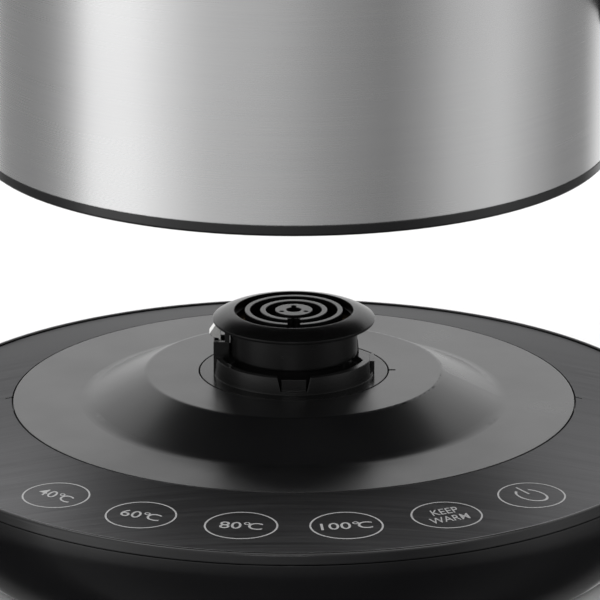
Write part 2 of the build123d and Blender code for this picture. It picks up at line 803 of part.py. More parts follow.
spreader_thickness = 3.0
floor_thickness = 0.8
spreader_low = floor_top - floor_thickness - spreader_thickness
element_radius = 3.4
element_circle = 44.0
element_level = spreader_low - element_radius

with BuildPart() as vessel_floor:
    with BuildSketch(Plane.XZ):
        with BuildLine():
            floor_radius = body_radius - body_wall - 0.05
            Polyline(
                (0, floor_top),
                (floor_radius, floor_top),
                (floor_radius, floor_top - 8),
                (floor_radius - floor_thickness, floor_top - 8),
                (floor_radius - floor_thickness, floor_top - floor_thickness),
                (0, floor_top - floor_thickness),
                close=True,
            )
        make_face()
    revolve(axis=Axis.Z)
    with BuildSketch(Plane.XY.offset(stud_foot)):
        with Locations(*stud_spots):
            Circle(stud_radius)
    extrude(amount=floor_top - floor_thickness - stud_foot)
    with BuildSketch(Plane.XY.offset(stud_foot)):
        with Locations(*stud_spots):
            Circle(screw_hole_radius)
    extrude(amount=12, mode=Mode.SUBTRACT)
    with BuildSketch(Plane.XY.offset(floor_top)):
        with Locations(sensor_spot):
            Circle(4.0)
    extrude(amount=-floor_thickness * 2, mode=Mode.SUBTRACT)
vessel_floor.part.label = "vessel_floor"
export_step(vessel_floor.part, "parts/vessel_floor.step")

with BuildPart() as heat_spreader:
    with BuildSketch(Plane.XY.offset(spreader_low)):
        Circle(element_circle + element_radius + 4)
    extrude(amount=spreader_thickness)
    chamfer(heat_spreader.edges().group_by(Axis.Z)[0], 0.6)
heat_spreader.part.label = "heat_spreader"
export_step(heat_spreader.part, "parts/heat_spreader.step")

with BuildPart() as heating_element:
    with BuildLine(Plane.XY.offset(element_level)) as element_path:
        element_arc = CenterArc((0, 0), element_circle, 25, 310)
    with BuildSketch(Plane(origin=element_arc @ 0, z_dir=element_arc % 0)):
        Circle(element_radius)
    sweep(path=element_arc)
    with BuildSketch(Plane.XY.offset(element_level - 12)):
        with Locations(*polar_spots(element_circle, [27, 333])):
            Circle(1.6)
    extrude(amount=11)
heating_element.part.label = "heating_element"
export_step(heating_element.part, "parts/heating_element.step")

with BuildPart() as thermal_control:
    with BuildSketch(Plane.XY.offset(socket_ceiling + 4.3)):
        RectangleRounded(38, 34, 4)
    extrude(amount=spreader_low - socket_ceiling - 4.3 - 0.4)
    with BuildSketch(Plane.XY.offset(spreader_low - 0.4)):
        with Locations((0, 9)):
            Circle(6)
    extrude(amount=0.4)
thermal_control.part.label = "thermal_control"
export_step(thermal_control.part, "parts/thermal_control.step")

with BuildPart() as temperature_sensor:
    with BuildSketch(Plane.XY.offset(floor_top - 9)):
        with Locations(sensor_spot):
            Circle(2.0)
    extrude(amount=18)
    fillet(temperature_sensor.edges().group_by(Axis.Z)[-1], 1.6)
temperature_sensor.part.label = "temperature_sensor"
export_step(temperature_sensor.part, "parts/temperature_sensor.step")

with BuildPart() as sensor_seal:
    with BuildSketch(Plane.XY.offset(floor_top)):
        with Locations(sensor_spot):
            Circle(6.0)
            Circle(2.05, mode=Mode.SUBTRACT)
    extrude(amount=1.6)
    with BuildSketch(Plane.XY.offset(floor_top)):
        with Locations(sensor_spot):
            Circle(3.9)
            Circle(2.05, mode=Mode.SUBTRACT)
    extrude(amount=-2.4)
sensor_seal.part.label = "sensor_seal"
export_step(sensor_seal.part, "parts/sensor_seal.step")

# ---------------------------------------------------------------- body, spout, filter
window_level = body_top - window_drop - window_height / 2
window_low = window_level - window_height / 2
window_high = window_level + window_height / 2

with BuildPart() as steel_body:
    add(body_form(0, body_foot, body_top))
    add(body_form(-body_wall, kettle_level, body_top), mode=Mode.SUBTRACT)
    with BuildSketch(Plane.YZ.offset(-body_radius - 5)):
        with Locations((0, window_level)):
            RectangleRounded(window_width, window_height, 6)
    extrude(amount=40, mode=Mode.SUBTRACT)
steel_body.part.label = "steel_body"
export_step(steel_body.part, "parts/steel_body.step")

with BuildPart() as spout_filter:
    add(body_form(-body_wall - 0.15, window_low - 4, window_high + 4))
    add(body_form(-body_wall - 0.85, window_low - 5, window_high + 5), mode=Mode.SUBTRACT)
    with BuildSketch(Plane.YZ.offset(-body_radius - 5)):
        with Locations((0, window_level)):
            RectangleRounded(window_width + 6, window_height + 7, 7)
    extrude(amount=40, mode=Mode.INTERSECT)
    with BuildSketch(Plane.YZ.offset(-body_radius - 5)):
        with Locations((0, window_level)):
            with GridLocations(5.2, 4.2, 4, 5):
                SlotOverall(3.6, 2.2)
    extrude(amount=40, mode=Mode.SUBTRACT)
spout_filter.part.label = "spout_filter"
export_step(spout_filter.part, "parts/spout_filter.step")


def spout_form(inset):
    """The spout's tapering form, drawn in by the wall for its channel."""
    foot_point = -spout_foot_reach + inset
    nose_point = -(body_top_radius + spout_reach) + inset * 1.6
    foot_root = (-body_top_radius + 8, 14 - inset)
    nose_root = (-body_top_radius + 21, 46 - inset)
    with BuildPart() as form:
        with BuildSketch(Plane.XY.offset(body_top - spout_drop + inset * 2.5)):
            with BuildLine():
                Polyline((foot_point, 0), foot_root, (foot_root[0], -foot_root[1]), close=True)
            make_face()
            fillet(vertices().sort_by(Axis.X)[0], 2.4)
        with BuildSketch(Plane.XY.offset(body_top + spout_rise)):
            with BuildLine():
                Polyline((nose_point, 0), nose_root, (nose_root[0], -nose_root[1]), close=True)
            make_face()
            fillet(vertices().sort_by(Axis.X)[0], 8 - inset)
        loft(ruled=True)
    return form.part


with BuildPart() as spout:
    add(spout_form(0))
    add(spout_form(spout_wall), mode=Mode.SUBTRACT)
    add(body_form(0.1, body_foot - 2, body_top), mode=Mode.SUBTRACT)
    with BuildSketch(Plane.XY.offset(body_top)):
        Circle(body_top_radius + 0.6)
    extrude(amount=20, mode=Mode.SUBTRACT)
    lip_plane = Plane(origin=(-body_top_radius, 0, body_top + 1), z_dir=(0.2, 0, 1))
    split(bisect_by=lip_plane, keep=Keep.BOTTOM)
spout.part.label = "spout"
export_step(spout.part, "parts/spout.step")

# ---------------------------------------------------------------- top collar and lid
lip_radius = opening_radius - 2.4
lip_top = body_top + 3.4
bar_low = body_top + 2.4
bar_height = 2.5
bar_width = 10.0
ear_radius = 3.6
ear_inner = 8.2
ear_outer = 12.2

with BuildPart() as top_collar:
    with BuildSketch(Plane.XZ):
        with BuildLine():
            Polyline(
                (body_top_radius + 0.3, body_top + 0.05),
                (body_top_radius + 0.1, collar_crest - 2.5),
                (body_top_radius - 2.4, collar_crest),
                (opening_radius, collar_crest),
                (opening_radius, lip_top),
                (lip_radius, lip_top),
                (lip_radius, body_top - 0.6),
                (body_top_radius - body_wall - 2.4, body_top - 0.6),
                (body_top_radius - body_wall - 2.4, body_top - 7),
                (body_top_radius - body_wall - 0.3, body_top - 7),
                (body_top_radius - body_wall - 0.3, body_top + 0.05),
                close=True,
            )
        make_face()
    revolve(axis=Axis.Z)
    with BuildSketch(Plane.XZ.offset(-ear_outer)):
        with Locations((hinge_reach, hinge_level)):
            Circle(ear_radius)
        with Locations((hinge_reach, (hinge_level + collar_crest - 1) / 2)):
            Rectangle(2 * ear_radius, hinge_level - collar_crest + 1)
    extrude(amount=2 * ear_outer)
    with BuildSketch(Plane.XY.offset(collar_crest)):
        with Locations((hinge_reach, 0)):
            Rectangle(3 * ear_radius, 2 * ear_inner)
    extrude(amount=12, mode=Mode.SUBTRACT)
    with BuildSketch(Plane.XZ.offset(-ear_outer - 1)):
        with Locations((hinge_reach, hinge_level)):
            Circle(pin_radius + 0.02)
    extrude(amount=2 * ear_outer + 2, mode=Mode.SUBTRACT)
    with BuildSketch(Plane.YZ.offset(opening_radius - 4)):
        with Locations((0, bar_low + bar_height / 2)):
            Rectangle(bar_width + 0.8, bar_height + 0.8)
    extrude(amount=25, mode=Mode.SUBTRACT)
top_collar.part.label = "top_collar"
export_step(top_collar.part, "parts/top_collar.step")

with BuildPart() as hinge_pin:
    with BuildSketch(Plane.XZ.offset(-ear_outer - 0.8)):
        with Locations((hinge_reach, hinge_level)):
            Circle(pin_radius)
    extrude(amount=2 * ear_outer + 1.6)
    chamfer(hinge_pin.edges().filter_by(GeomType.CIRCLE), 0.3)
hinge_pin.part.label = "hinge_pin"
export_step(hinge_pin.part, "parts/hinge_pin.step")

lid_radius = opening_radius - lid_gap
plug_radius = lip_radius - 1.0
plug_inner = plug_radius - 1.8
plug_foot = body_top + 2.0
lid_edge_level = collar_crest + 0.4
lid_shell = 2.2
barrel_radius = 3.0
barrel_half = ear_inner - 0.5
spring_half = 2.9
arm_start = 44.0

with BuildPart() as lid_cap:
    with BuildSketch(Plane.XZ):
        with BuildLine():
            crown = (0, lid_edge_level + lid_dome)
            shell_crown = (0, lid_edge_level + lid_dome - lid_shell)
            edge_top = (lid_radius - 0.8, lid_edge_level)
            TangentArc(crown, edge_top, tangent=(1, 0))
            Polyline(
                edge_top,
                (lid_radius, lid_edge_level - 0.8),
                (lid_radius, lip_top + 2.9),
                (plug_radius, lip_top + 2.9),
                (plug_radius, plug_foot),
                (plug_inner, plug_foot),
                (plug_inner, lid_edge_level - lid_shell),
            )
            TangentArc(shell_crown, (plug_inner, lid_edge_level - lid_shell), tangent=(1, 0))
            Line(shell_crown, crown)
        make_face()
    revolve(axis=Axis.Z)
    with BuildSketch(Plane.XZ.offset(-barrel_half)):
        with Locations((hinge_reach, hinge_level)):
            Circle(barrel_radius)
        with BuildLine():
            Polyline(
                (arm_start, lid_edge_level + 0.2),
                (arm_start + 3, hinge_level + 1.2),
                (hinge_reach, hinge_level + barrel_radius),
                (hinge_reach, hinge_level - 2),
                (lid_radius - 0.5, lid_edge_level - 0.5),
                close=True,
            )
        make_face()
    extrude(amount=2 * barrel_half)
    with BuildSketch(Plane.XZ.offset(-barrel_half - 1)):
        with Locations((hinge_reach, hinge_level)):
            Circle(pin_radius + running_gap)
    extrude(amount=2 * barrel_half + 2, mode=Mode.SUBTRACT)
    with BuildSketch(Plane.XY.offset(collar_crest)):
        with Locations((hinge_reach, 0)):
            Rectangle(2 * barrel_radius + 3, 2 * spring_half)
    extrude(amount=14, mode=Mode.SUBTRACT)
lid_cap.part.label = "lid_cap"
export_step(lid_cap.part, "parts/lid_cap.step")

with BuildPart() as lid_seal:
    with BuildSketch(Plane.XY.offset(lip_top + 0.3)):
        Circle(lid_radius - 0.2)
        Circle(plug_radius + 0.05, mode=Mode.SUBTRACT)
    extrude(amount=2.55)
    fillet(lid_seal.edges().group_by(Axis.Z)[0].sort_by(SortBy.RADIUS)[-1], 0.7)
lid_seal.part.label = "lid_seal"
export_step(lid_seal.part, "parts/lid_seal.step")

with BuildPart() as lid_inner_plate:
    with BuildSketch(Plane.XY.offset(plug_foot + 0.3)):
        Circle(plug_inner - 0.05)
    extrude(amount=0.8)
    with BuildSketch(Plane.XY.offset(plug_foot + 1.1)):
        Circle(plug_inner - 0.05)
        Circle(plug_inner - 0.85, mode=Mode.SUBTRACT)
    extrude(amount=3)
    fillet(lid_inner_plate.edges().group_by(Axis.Z)[0], 0.5)
lid_inner_plate.part.label = "lid_inner_plate"
export_step(lid_inner_plate.part, "parts/lid_inner_plate.step")

# Torsion spring round the hinge pin, drawn as closed turns.
spring_wire = 0.5
spring_coil = pin_radius + 0.3 + spring_wire
with BuildPart() as lid_spring:
    for turn in range(4):
        turn_plane = Plane.XZ.offset(-(turn - 1.5) * (2 * spring_wire + 0.1))
        with BuildSketch(Plane(origin=(hinge_reach + spring_coil, turn_plane.origin.Y, hinge_level))):
            Circle(spring_wire)
        revolve(axis=Axis((hinge_reach, turn_plane.origin.Y, hinge_level), (0, 1, 0)))
lid_spring.part.label = "lid_spring"
export_step(lid_spring.part, "parts/lid_spring.step")

# ---------------------------------------------------------------- handle
with BuildPart() as handle_spine:
    add(body_form(0.1 + spine_thickness, z0 + spine_foot, body_top))
    add(body_form(0.1, kettle_level, body_top), mode=Mode.SUBTRACT)
    with BuildSketch(Plane.YZ.offset(body_top_radius - 15)):
        with Locations((0, z0 + (spine_foot + body_height) / 2)):
            Rectangle(spine_width, body_height - spine_foot)
        fillet(vertices().group_by(Axis.Y)[0], 9)
    extrude(amount=60, mode=Mode.INTERSECT)
handle_spine.part.label = "handle_spine"
export_step(handle_spine.part, "parts/handle_spine.step")

with BuildLine() as grip_line:
    FilletPolyline(
        (hinge_reach + 3, 0, grip_level),
        (grip_reach, 0, grip_level),
        (grip_reach, 0, z0 + grip_foot),
        (body_radius - 4, 0, z0 + grip_foot - grip_foot_fall),
        radius=grip_bend,
    )
grip_path = grip_line.wires()[0]
grip_start = Plane(origin=grip_path @ 0, x_dir=(0, 1, 0), z_dir=grip_path % 0)
behind_handle = body_form(0.2 + spine_thickness, kettle_level, body_top)
with BuildPart() as collar_form:
    with BuildSketch(Plane.XY.offset(body_top - 1)):
        Circle(body_top_radius + 0.5)
    extrude(amount=30)
half_grip = grip_thickness / 2
screw_levels = [z0 + 76, z0 + 108, z0 + 140]
finger_face = grip_reach - half_grip

with BuildPart() as handle_outer_shell:
    with BuildSketch(grip_start):
        with Locations((0, (half_grip - shell_split) / 2)):
            Rectangle(grip_width, half_grip + shell_split)
        fillet(vertices().group_by(Axis.Y)[-1], 6)
        with Locations((0, (half_grip - grip_wall - shell_split) / 2 - 0.01)):
            hollow = (grip_width - 2 * grip_wall, half_grip - grip_wall + shell_split)
            Rectangle(*hollow, mode=Mode.SUBTRACT)
    sweep(path=grip_path)
    add(behind_handle, mode=Mode.SUBTRACT)
    add(collar_form.part, mode=Mode.SUBTRACT)
    with BuildSketch(Plane.YZ.offset(grip_reach - shell_split)):
        with Locations(*[(0, level) for level in screw_levels]):
            Circle(boss_radius)
    extrude(amount=half_grip + shell_split - grip_wall)
    with BuildSketch(Plane.YZ.offset(grip_reach - shell_split)):
        with Locations(*[(0, level) for level in screw_levels]):
            Circle(screw_hole_radius)
    extrude(amount=half_grip + shell_split - grip_wall - 1, mode=Mode.SUBTRACT)
    with BuildSketch(Plane.XY.offset(grip_level)):
        with Locations((button_centre, 0)):
            RectangleRounded(button_size[0] + 0.8, button_size[1] + 0.8, 3)
    extrude(amount=30, mode=Mode.SUBTRACT)
handle_outer_shell.part.label = "handle_outer_shell"
export_step(handle_outer_shell.part, "parts/handle_outer_shell.step")

with BuildPart() as handle_inner_shell:
    with BuildSketch(grip_start):
        with Locations((0, -(half_grip + shell_split + clearance) / 2)):
            Rectangle(grip_width, half_grip - shell_split - clearance)
        fillet(vertices().group_by(Axis.Y)[0], 5)
        with Locations((0, -(half_grip - grip_wall + shell_split + clearance) / 2 + 0.01)):
            Rectangle(
                grip_width - 2 * grip_wall,
                half_grip - grip_wall - shell_split - clearance,
                mode=Mode.SUBTRACT,
            )
    sweep(path=grip_path)
    add(behind_handle, mode=Mode.SUBTRACT)
    add(collar_form.part, mode=Mode.SUBTRACT)
    with BuildSketch(Plane.YZ.offset(finger_face)):
        with Locations(*[(0, level) for level in screw_levels]):
            Circle(screw_head_radius + clearance)
    extrude(amount=screw_head_height + 0.15, mode=Mode.SUBTRACT)
    with BuildSketch(Plane.YZ.offset(finger_face)):
        with Locations(*[(0, level) for level in screw_levels]):
            Circle(screw_hole_radius + clearance)
    extrude(amount=12, mode=Mode.SUBTRACT)
handle_inner_shell.part.label = "handle_inner_shell"
export_step(handle_inner_shell.part, "parts/handle_inner_shell.step")

with BuildPart() as handle_screws:
    screw_face = Plane(origin=(finger_face + 0.05, 0, 0), x_dir=(0, 1, 0), z_dir=(-1, 0, 0))
    add(screw_set(screw_face, [(0, -level) for level in screw_levels], 9))
handle_screws.part.label = "handle_screws"
export_step(handle_screws.part, "parts/handle_screws.step")

# ---------------------------------------------------------------- lid button and latch
grip_top = grip_level + half_grip
button_top = grip_top + button_proud
button_skirt = bar_low + bar_height + button_travel + 0.5
stem_low = bar_low - 2.0
stem_width = 6.0
stem_back = button_centre - 4.0
ramp_foot = button_centre - 2.8  # foot of the 45 degree ramp that drives the latch
ramp_gap = 0.42  # along X, so 0.3 mm square to the ramp
ramp_line = ramp_foot + ramp_gap - stem_low
window_back = stem_back - button_travel - 0.6
bar_nose = opening_radius
bar_end = ramp_foot + 10

with BuildPart() as lid_button:
    with BuildSketch(Plane.XY.offset(button_skirt)):
        with Locations((button_centre, 0)):
            RectangleRounded(*button_size, 2.6)
    extrude(amount=button_top - button_skirt)
    fillet(lid_button.edges().group_by(Axis.Z)[-1], 0.8)
    with BuildSketch(Plane.XZ.offset(-stem_width / 2)):
        with BuildLine():
            Polyline(
                (stem_back, button_skirt),
                (stem_back, stem_low),
                (ramp_foot, stem_low),
                (ramp_foot + button_skirt - stem_low, button_skirt),
                close=True,
            )
        make_face()
    extrude(amount=stem_width)
lid_button.part.label = "lid_button"
export_step(lid_button.part, "parts/lid_button.step")

with BuildPart() as lid_latch:
    with BuildSketch(Plane.XZ.offset(-bar_width / 2)):
        with BuildLine():
            Polyline(
                (bar_nose, bar_low + 0.8),
                (bar_nose + 0.8, bar_low),
                (bar_end, bar_low),
                (bar_end, bar_low + bar_height),
                (bar_nose, bar_low + bar_height),
                close=True,
            )
        make_face()
    extrude(amount=bar_width)
    with BuildSketch(Plane.XZ.offset(-stem_width / 2 - 0.4)):
        with BuildLine():
            Polyline(
                (window_back, bar_low - 1),
                (window_back, bar_low + bar_height + 1),
                (ramp_line + bar_low + bar_height + 1, bar_low + bar_height + 1),
                (ramp_line + bar_low - 1, bar_low - 1),
                close=True,
            )
        make_face()
    extrude(amount=stem_width + 0.8, mode=Mode.SUBTRACT)
lid_latch.part.label = "lid_latch"
export_step(lid_latch.part, "parts/lid_latch.step")

# Return spring under the button's stem, on the floor of the handle.
spring_floor = grip_level - half_grip + grip_wall
spring_turns = 4
with BuildPart() as button_spring:
    with BuildLine():
        coil = Helix(
            pitch=(stem_low - spring_floor - 1.2) / spring_turns,
            height=stem_low - spring_floor - 1.2,
            radius=1.8,
            center=(button_centre - 2.4, 0, spring_floor + 0.6),
        )
    with BuildSketch(Plane(origin=coil @ 0, z_dir=coil % 0)):
        Circle(0.35)
    sweep(path=coil, is_frenet=True)
button_spring.part.label = "button_spring"
export_step(button_spring.part, "parts/button_spring.step")
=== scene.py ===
from math import atan2, cos, pi, radians, sin

import bmesh
import bpy
from mathutils import Matrix, Vector


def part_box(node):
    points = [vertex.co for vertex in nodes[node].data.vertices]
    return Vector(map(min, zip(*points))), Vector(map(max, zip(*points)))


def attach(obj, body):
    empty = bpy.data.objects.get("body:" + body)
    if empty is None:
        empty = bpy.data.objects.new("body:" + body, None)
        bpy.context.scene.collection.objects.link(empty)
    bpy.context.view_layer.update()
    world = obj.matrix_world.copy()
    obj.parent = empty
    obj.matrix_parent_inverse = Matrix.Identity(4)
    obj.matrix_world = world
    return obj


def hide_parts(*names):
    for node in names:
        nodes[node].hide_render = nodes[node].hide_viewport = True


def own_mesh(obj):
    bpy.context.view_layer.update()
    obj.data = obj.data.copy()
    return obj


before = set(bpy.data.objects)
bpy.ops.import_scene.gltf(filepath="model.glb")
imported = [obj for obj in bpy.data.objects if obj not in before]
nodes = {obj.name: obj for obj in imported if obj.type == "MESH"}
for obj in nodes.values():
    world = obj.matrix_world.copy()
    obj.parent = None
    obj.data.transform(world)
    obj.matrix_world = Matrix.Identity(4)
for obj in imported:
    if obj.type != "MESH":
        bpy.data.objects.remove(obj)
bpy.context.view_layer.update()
scene = bpy.context.scene
print("frame loaded,", len(nodes), "nodes")

# camera and studio

studio = {
    "distance": 1.2455,  # camera in front of the connector's axis
    "height": 0.4594,  # camera above the table
    "pitch": 72.235,
    "lens": 316.8,
    "shift": 0.01035,
    "floorRadius": 4.0,
}

cameraData = bpy.data.cameras.new("productCamera")
cameraData.lens = studio["lens"]
cameraData.sensor_width = 36
cameraData.shift_x = studio["shift"]
cameraData.clip_start = 0.05
cameraData.clip_end = 30
camera = bpy.data.objects.new("productCamera", cameraData)
camera.location = (0, -studio["distance"], studio["height"])
camera.rotation_euler = (radians(studio["pitch"]), 0, 0)
scene.collection.objects.link(camera)
scene.camera = camera
scene.view_settings.view_transform = "Standard"


def addLight(name, size, place, aim, watts, glossy=True):
    light = bpy.data.lights.new(name, "AREA")
    light.shape = "RECTANGLE"
    light.size, light.size_y = size
    light.energy = watts
    lamp = bpy.data.objects.new(name, light)
    lamp.location = place
    lamp.rotation_euler = (Vector(aim) - Vector(place)).to_track_quat("-Z", "Y").to_euler()
    lamp.visible_glossy = glossy
    scene.collection.objects.link(lamp)
    return lamp


addLight("overheadSoftbox", (1.6, 1.2), (0, 0.35, 1.5), (0, 0, 0), 11)
addLight("frontFill", (1.2, 0.5), (0.1, -1.6, 0.9), (0, 0, 0.1), 1.6, glossy=False)
addLight("frontStrip", (0.5, 0.1), (-0.12, -1.5, 0.72), (0, 0, 0.05), 1.2)

# what the metal mirrors of the studio's walls: share of a full turn, counted from behind, and its tone
wallTones = [
    (0.00, 1.15),
    (0.09, 1.00),
    (0.14, 0.30),
    (0.20, 0.28),
    (0.235, 0.36),
    (0.262, 0.62),
    (0.285, 1.25),
    (0.335, 1.28),
    (0.375, 0.95),
    (0.41, 0.70),
    (0.46, 0.58),
    (0.53, 0.38),
    (0.595, 0.25),
    (0.63, 0.38),
    (0.665, 0.60),
    (0.72, 0.75),
    (0.765, 0.50),
    (0.81, 0.30),
    (0.86, 0.30),
    (0.91, 1.00),
    (1.00, 1.15),
]


def buildWorld():
    world = bpy.data.worlds.new("studioWorld")
    scene.world = world
    world.use_nodes = True
    tree = world.node_tree
    tree.nodes.clear()
    add, link = tree.nodes.new, tree.links.new
    coords = add("ShaderNodeTexCoord")
    split = add("ShaderNodeSeparateXYZ")
    link(coords.outputs["Generated"], split.inputs[0])
    front = add("ShaderNodeMath")
    front.operation = "MULTIPLY"
    front.inputs[1].default_value = -1
    link(split.outputs["Y"], front.inputs[0])
    turn = add("ShaderNodeMath")
    turn.operation = "ARCTAN2"
    link(split.outputs["X"], turn.inputs[0])
    link(front.outputs[0], turn.inputs[1])
    share = add("ShaderNodeMapRange")
    share.inputs["From Min"].default_value = -pi
    share.inputs["From Max"].default_value = pi
    link(turn.outputs[0], share.inputs["Value"])
    ramp = add("ShaderNodeValToRGB")
    stops = ramp.color_ramp.elements
    while len(stops) < len(wallTones):
        stops.new(0.5)
    for stop, (place, tone) in zip(stops, wallTones):
        stop.position = place
        stop.color = (tone, tone, tone, 1)
    link(share.outputs[0], ramp.inputs["Fac"])
    high = add("ShaderNodeMapRange")
    high.inputs["From Min"].default_value = 0.35
    high.inputs["From Max"].default_value = 0.8
    link(split.outputs["Z"], high.inputs["Value"])
    ceiling = add("ShaderNodeMix")
    ceiling.data_type = "RGBA"
    ceiling.inputs["B"].default_value = (0.85, 0.85, 0.85, 1)
    link(high.outputs[0], ceiling.inputs["Factor"])
    link(ramp.outputs["Color"], ceiling.inputs["A"])
    low = add("ShaderNodeMapRange")
    low.inputs["From Min"].default_value = -0.52
    low.inputs["From Max"].default_value = -0.33
    low.inputs["To Min"].default_value = 0.13
    link(split.outputs["Z"], low.inputs["Value"])
    walls = add("ShaderNodeBackground")
    link(ceiling.outputs["Result"], walls.inputs["Color"])
    link(low.outputs[0], walls.inputs["Strength"])
    white = add("ShaderNodeBackground")
    white.inputs["Color"].default_value = (1, 1, 1, 1)
    white.inputs["Strength"].default_value = 1.05
    rays = add("ShaderNodeLightPath")
    choose = add("ShaderNodeMixShader")
    link(rays.outputs["Is Camera Ray"], choose.inputs[0])
    link(walls.outputs[0], choose.inputs[1])
    link(white.outputs[0], choose.inputs[2])
    out = add("ShaderNodeOutputWorld")
    link(choose.outputs[0], out.inputs["Surface"])


buildWorld()
print("camera and studio ready")

# shared effects


def newGroup(name, inputs, outputs):
    group = bpy.data.node_groups.new(name, "ShaderNodeTree")
    for label, kind, value in inputs:
        socket = group.interface.new_socket(label, in_out="INPUT", socket_type=kind)
        if value is not None:
            socket.default_value = value
    for label, kind in outputs:
        group.interface.new_socket(label, in_out="OUTPUT", socket_type=kind)
    start = group.nodes.new("NodeGroupInput")
    end = group.nodes.new("NodeGroupOutput")
    return group, start, end


def mapRange(tree, source, low, high, outLow, outHigh):
    node = tree.nodes.new("ShaderNodeMapRange")
    node.inputs["From Min"].default_value = low
    node.inputs["From Max"].default_value = high
    node.inputs["To Min"].default_value = outLow
    node.inputs["To Max"].default_value = outHigh
    tree.links.new(source, node.inputs["Value"])
    return node.outputs[0]


def mathNode(tree, operation, first, second):
    node = tree.nodes.new("ShaderNodeMath")
    node.operation = operation
    for socket, value in zip(node.inputs, (first, second)):
        if isinstance(value, (int, float)):
            socket.default_value = value
        else:
            tree.links.new(value, socket)
    return node.outputs[0]


def noiseNode(tree, vector, scale, detail=2.0, roughness=0.5):
    node = tree.nodes.new("ShaderNodeTexNoise")
    node.inputs["Scale"].default_value = scale
    node.inputs["Detail"].default_value = detail
    node.inputs["Roughness"].default_value = roughness
    tree.links.new(vector, node.inputs["Vector"])
    return node.outputs["Fac"]


def makeBrushing():
    # drawn-out noise: low numbers in Stretch run along the strokes, high ones across them
    group, start, end = newGroup(
        "brushing",
        [("Vector", "NodeSocketVector", None), ("Stretch", "NodeSocketVector", (12, 12, 900))],
        [("Strokes", "NodeSocketFloat"), ("Scratches", "NodeSocketFloat"), ("Clouds", "NodeSocketFloat")],
    )
    stretch = group.nodes.new("ShaderNodeVectorMath")
    stretch.operation = "MULTIPLY"
    group.links.new(start.outputs["Vector"], stretch.inputs[0])
    group.links.new(start.outputs["Stretch"], stretch.inputs[1])
    fine = noiseNode(group, stretch.outputs[0], 3.0, 3.0, 0.6)
    broad = noiseNode(group, stretch.outputs[0], 0.55, 2.0, 0.5)
    fineShare = mathNode(group, "MULTIPLY", fine, 0.65)
    broadShare = mathNode(group, "MULTIPLY", broad, 0.35)
    both = mathNode(group, "ADD", fineShare, broadShare)
    group.links.new(both, end.inputs["Strokes"])
    single = noiseNode(group, stretch.outputs[0], 1.3, 1.0, 0.4)
    group.links.new(mapRange(group, single, 0.66, 0.78, 0, 1), end.inputs["Scratches"])
    group.links.new(noiseNode(group, start.outputs["Vector"], 14, 2), end.inputs["Clouds"])
    return group


def makeMoulding():
    # fine spark-eroded grain and the faint mottle of handled plastic
    group, start, end = newGroup(
        "moulding",
        [("Vector", "NodeSocketVector", None)],
        [("Grain", "NodeSocketFloat"), ("Mottle", "NodeSocketFloat"), ("Specks", "NodeSocketFloat")],
    )
    group.links.new(noiseNode(group, start.outputs["Vector"], 2600, 2, 0.6), end.inputs["Grain"])
    group.links.new(noiseNode(group, start.outputs["Vector"], 38, 3, 0.55), end.inputs["Mottle"])
    specks = noiseNode(group, start.outputs["Vector"], 900, 1, 0.3)
    group.links.new(mapRange(group, specks, 0.74, 0.8, 0, 1), end.inputs["Specks"])
    return group


def makeEdgeWearAndHighlight():
    # where the rounded normal leaves the true one there is an edge; the Edge mask lightens colour there,
    # partly wear and partly painted highlight on rounded edges
    group, start, end = newGroup(
        "edgeWearAndHighlight",
        [("Vector", "NodeSocketVector", None), ("Radius", "NodeSocketFloat", 0.0004)],
        [("Edge", "NodeSocketFloat"), ("Rounded", "NodeSocketVector")],
    )
    soft = group.nodes.new("ShaderNodeBevel")
    soft.samples = 4
    group.links.new(start.outputs["Radius"], soft.inputs["Radius"])
    true = group.nodes.new("ShaderNodeNewGeometry")
    turn = group.nodes.new("ShaderNodeVectorMath")
    turn.operation = "DOT_PRODUCT"
    group.links.new(soft.outputs["Normal"], turn.inputs[0])
    group.links.new(true.outputs["Normal"], turn.inputs[1])
    bent = mapRange(group, turn.outputs["Value"], 0.97, 0.8, 0, 1)
    patchy = mapRange(group, noiseNode(group, start.outputs["Vector"], 260, 3, 0.7), 0.4, 0.62, 0.15, 1)
    group.links.new(mathNode(group, "MULTIPLY", bent, patchy), end.inputs["Edge"])
    group.links.new(soft.outputs["Normal"], end.inputs["Rounded"])
    return group


brushing = makeBrushing()
moulding = makeMoulding()
edgeWearAndHighlight = makeEdgeWearAndHighlight()


def newMaterial(name, **sockets):
    material = bpy.data.materials.new(name)
    material.use_nodes = True
    shader = material.node_tree.nodes["Principled BSDF"]
    for label, value in sockets.items():
        shader.inputs[label.replace("_", " ")].default_value = value
    return material, material.node_tree, shader


def placeGroup(tree, group, **values):
    node = tree.nodes.new("ShaderNodeGroup")
    node.node_tree = group
    coords = tree.nodes.new("ShaderNodeTexCoord")
    tree.links.new(coords.outputs["Object"], node.inputs["Vector"])
    for label, value in values.items():
        node.inputs[label].default_value = value
    return node


def blendColors(tree, factor, first, second):
    node = tree.nodes.new("ShaderNodeMix")
    node.data_type = "RGBA"
    tree.links.new(factor, node.inputs["Factor"])
    for label, value in (("A", first), ("B", second)):
        if isinstance(value, tuple):
            node.inputs[label].default_value = (*value, 1)
        else:
            tree.links.new(value, node.inputs[label])
    return node.outputs["Result"]


def bumpNode(tree, height, depth, normal):
    node = tree.nodes.new("ShaderNodeBump")
    node.inputs["Distance"].default_value = depth
    tree.links.new(height, node.inputs["Height"])
    tree.links.new(normal, node.inputs["Normal"])
    return node.outputs["Normal"]


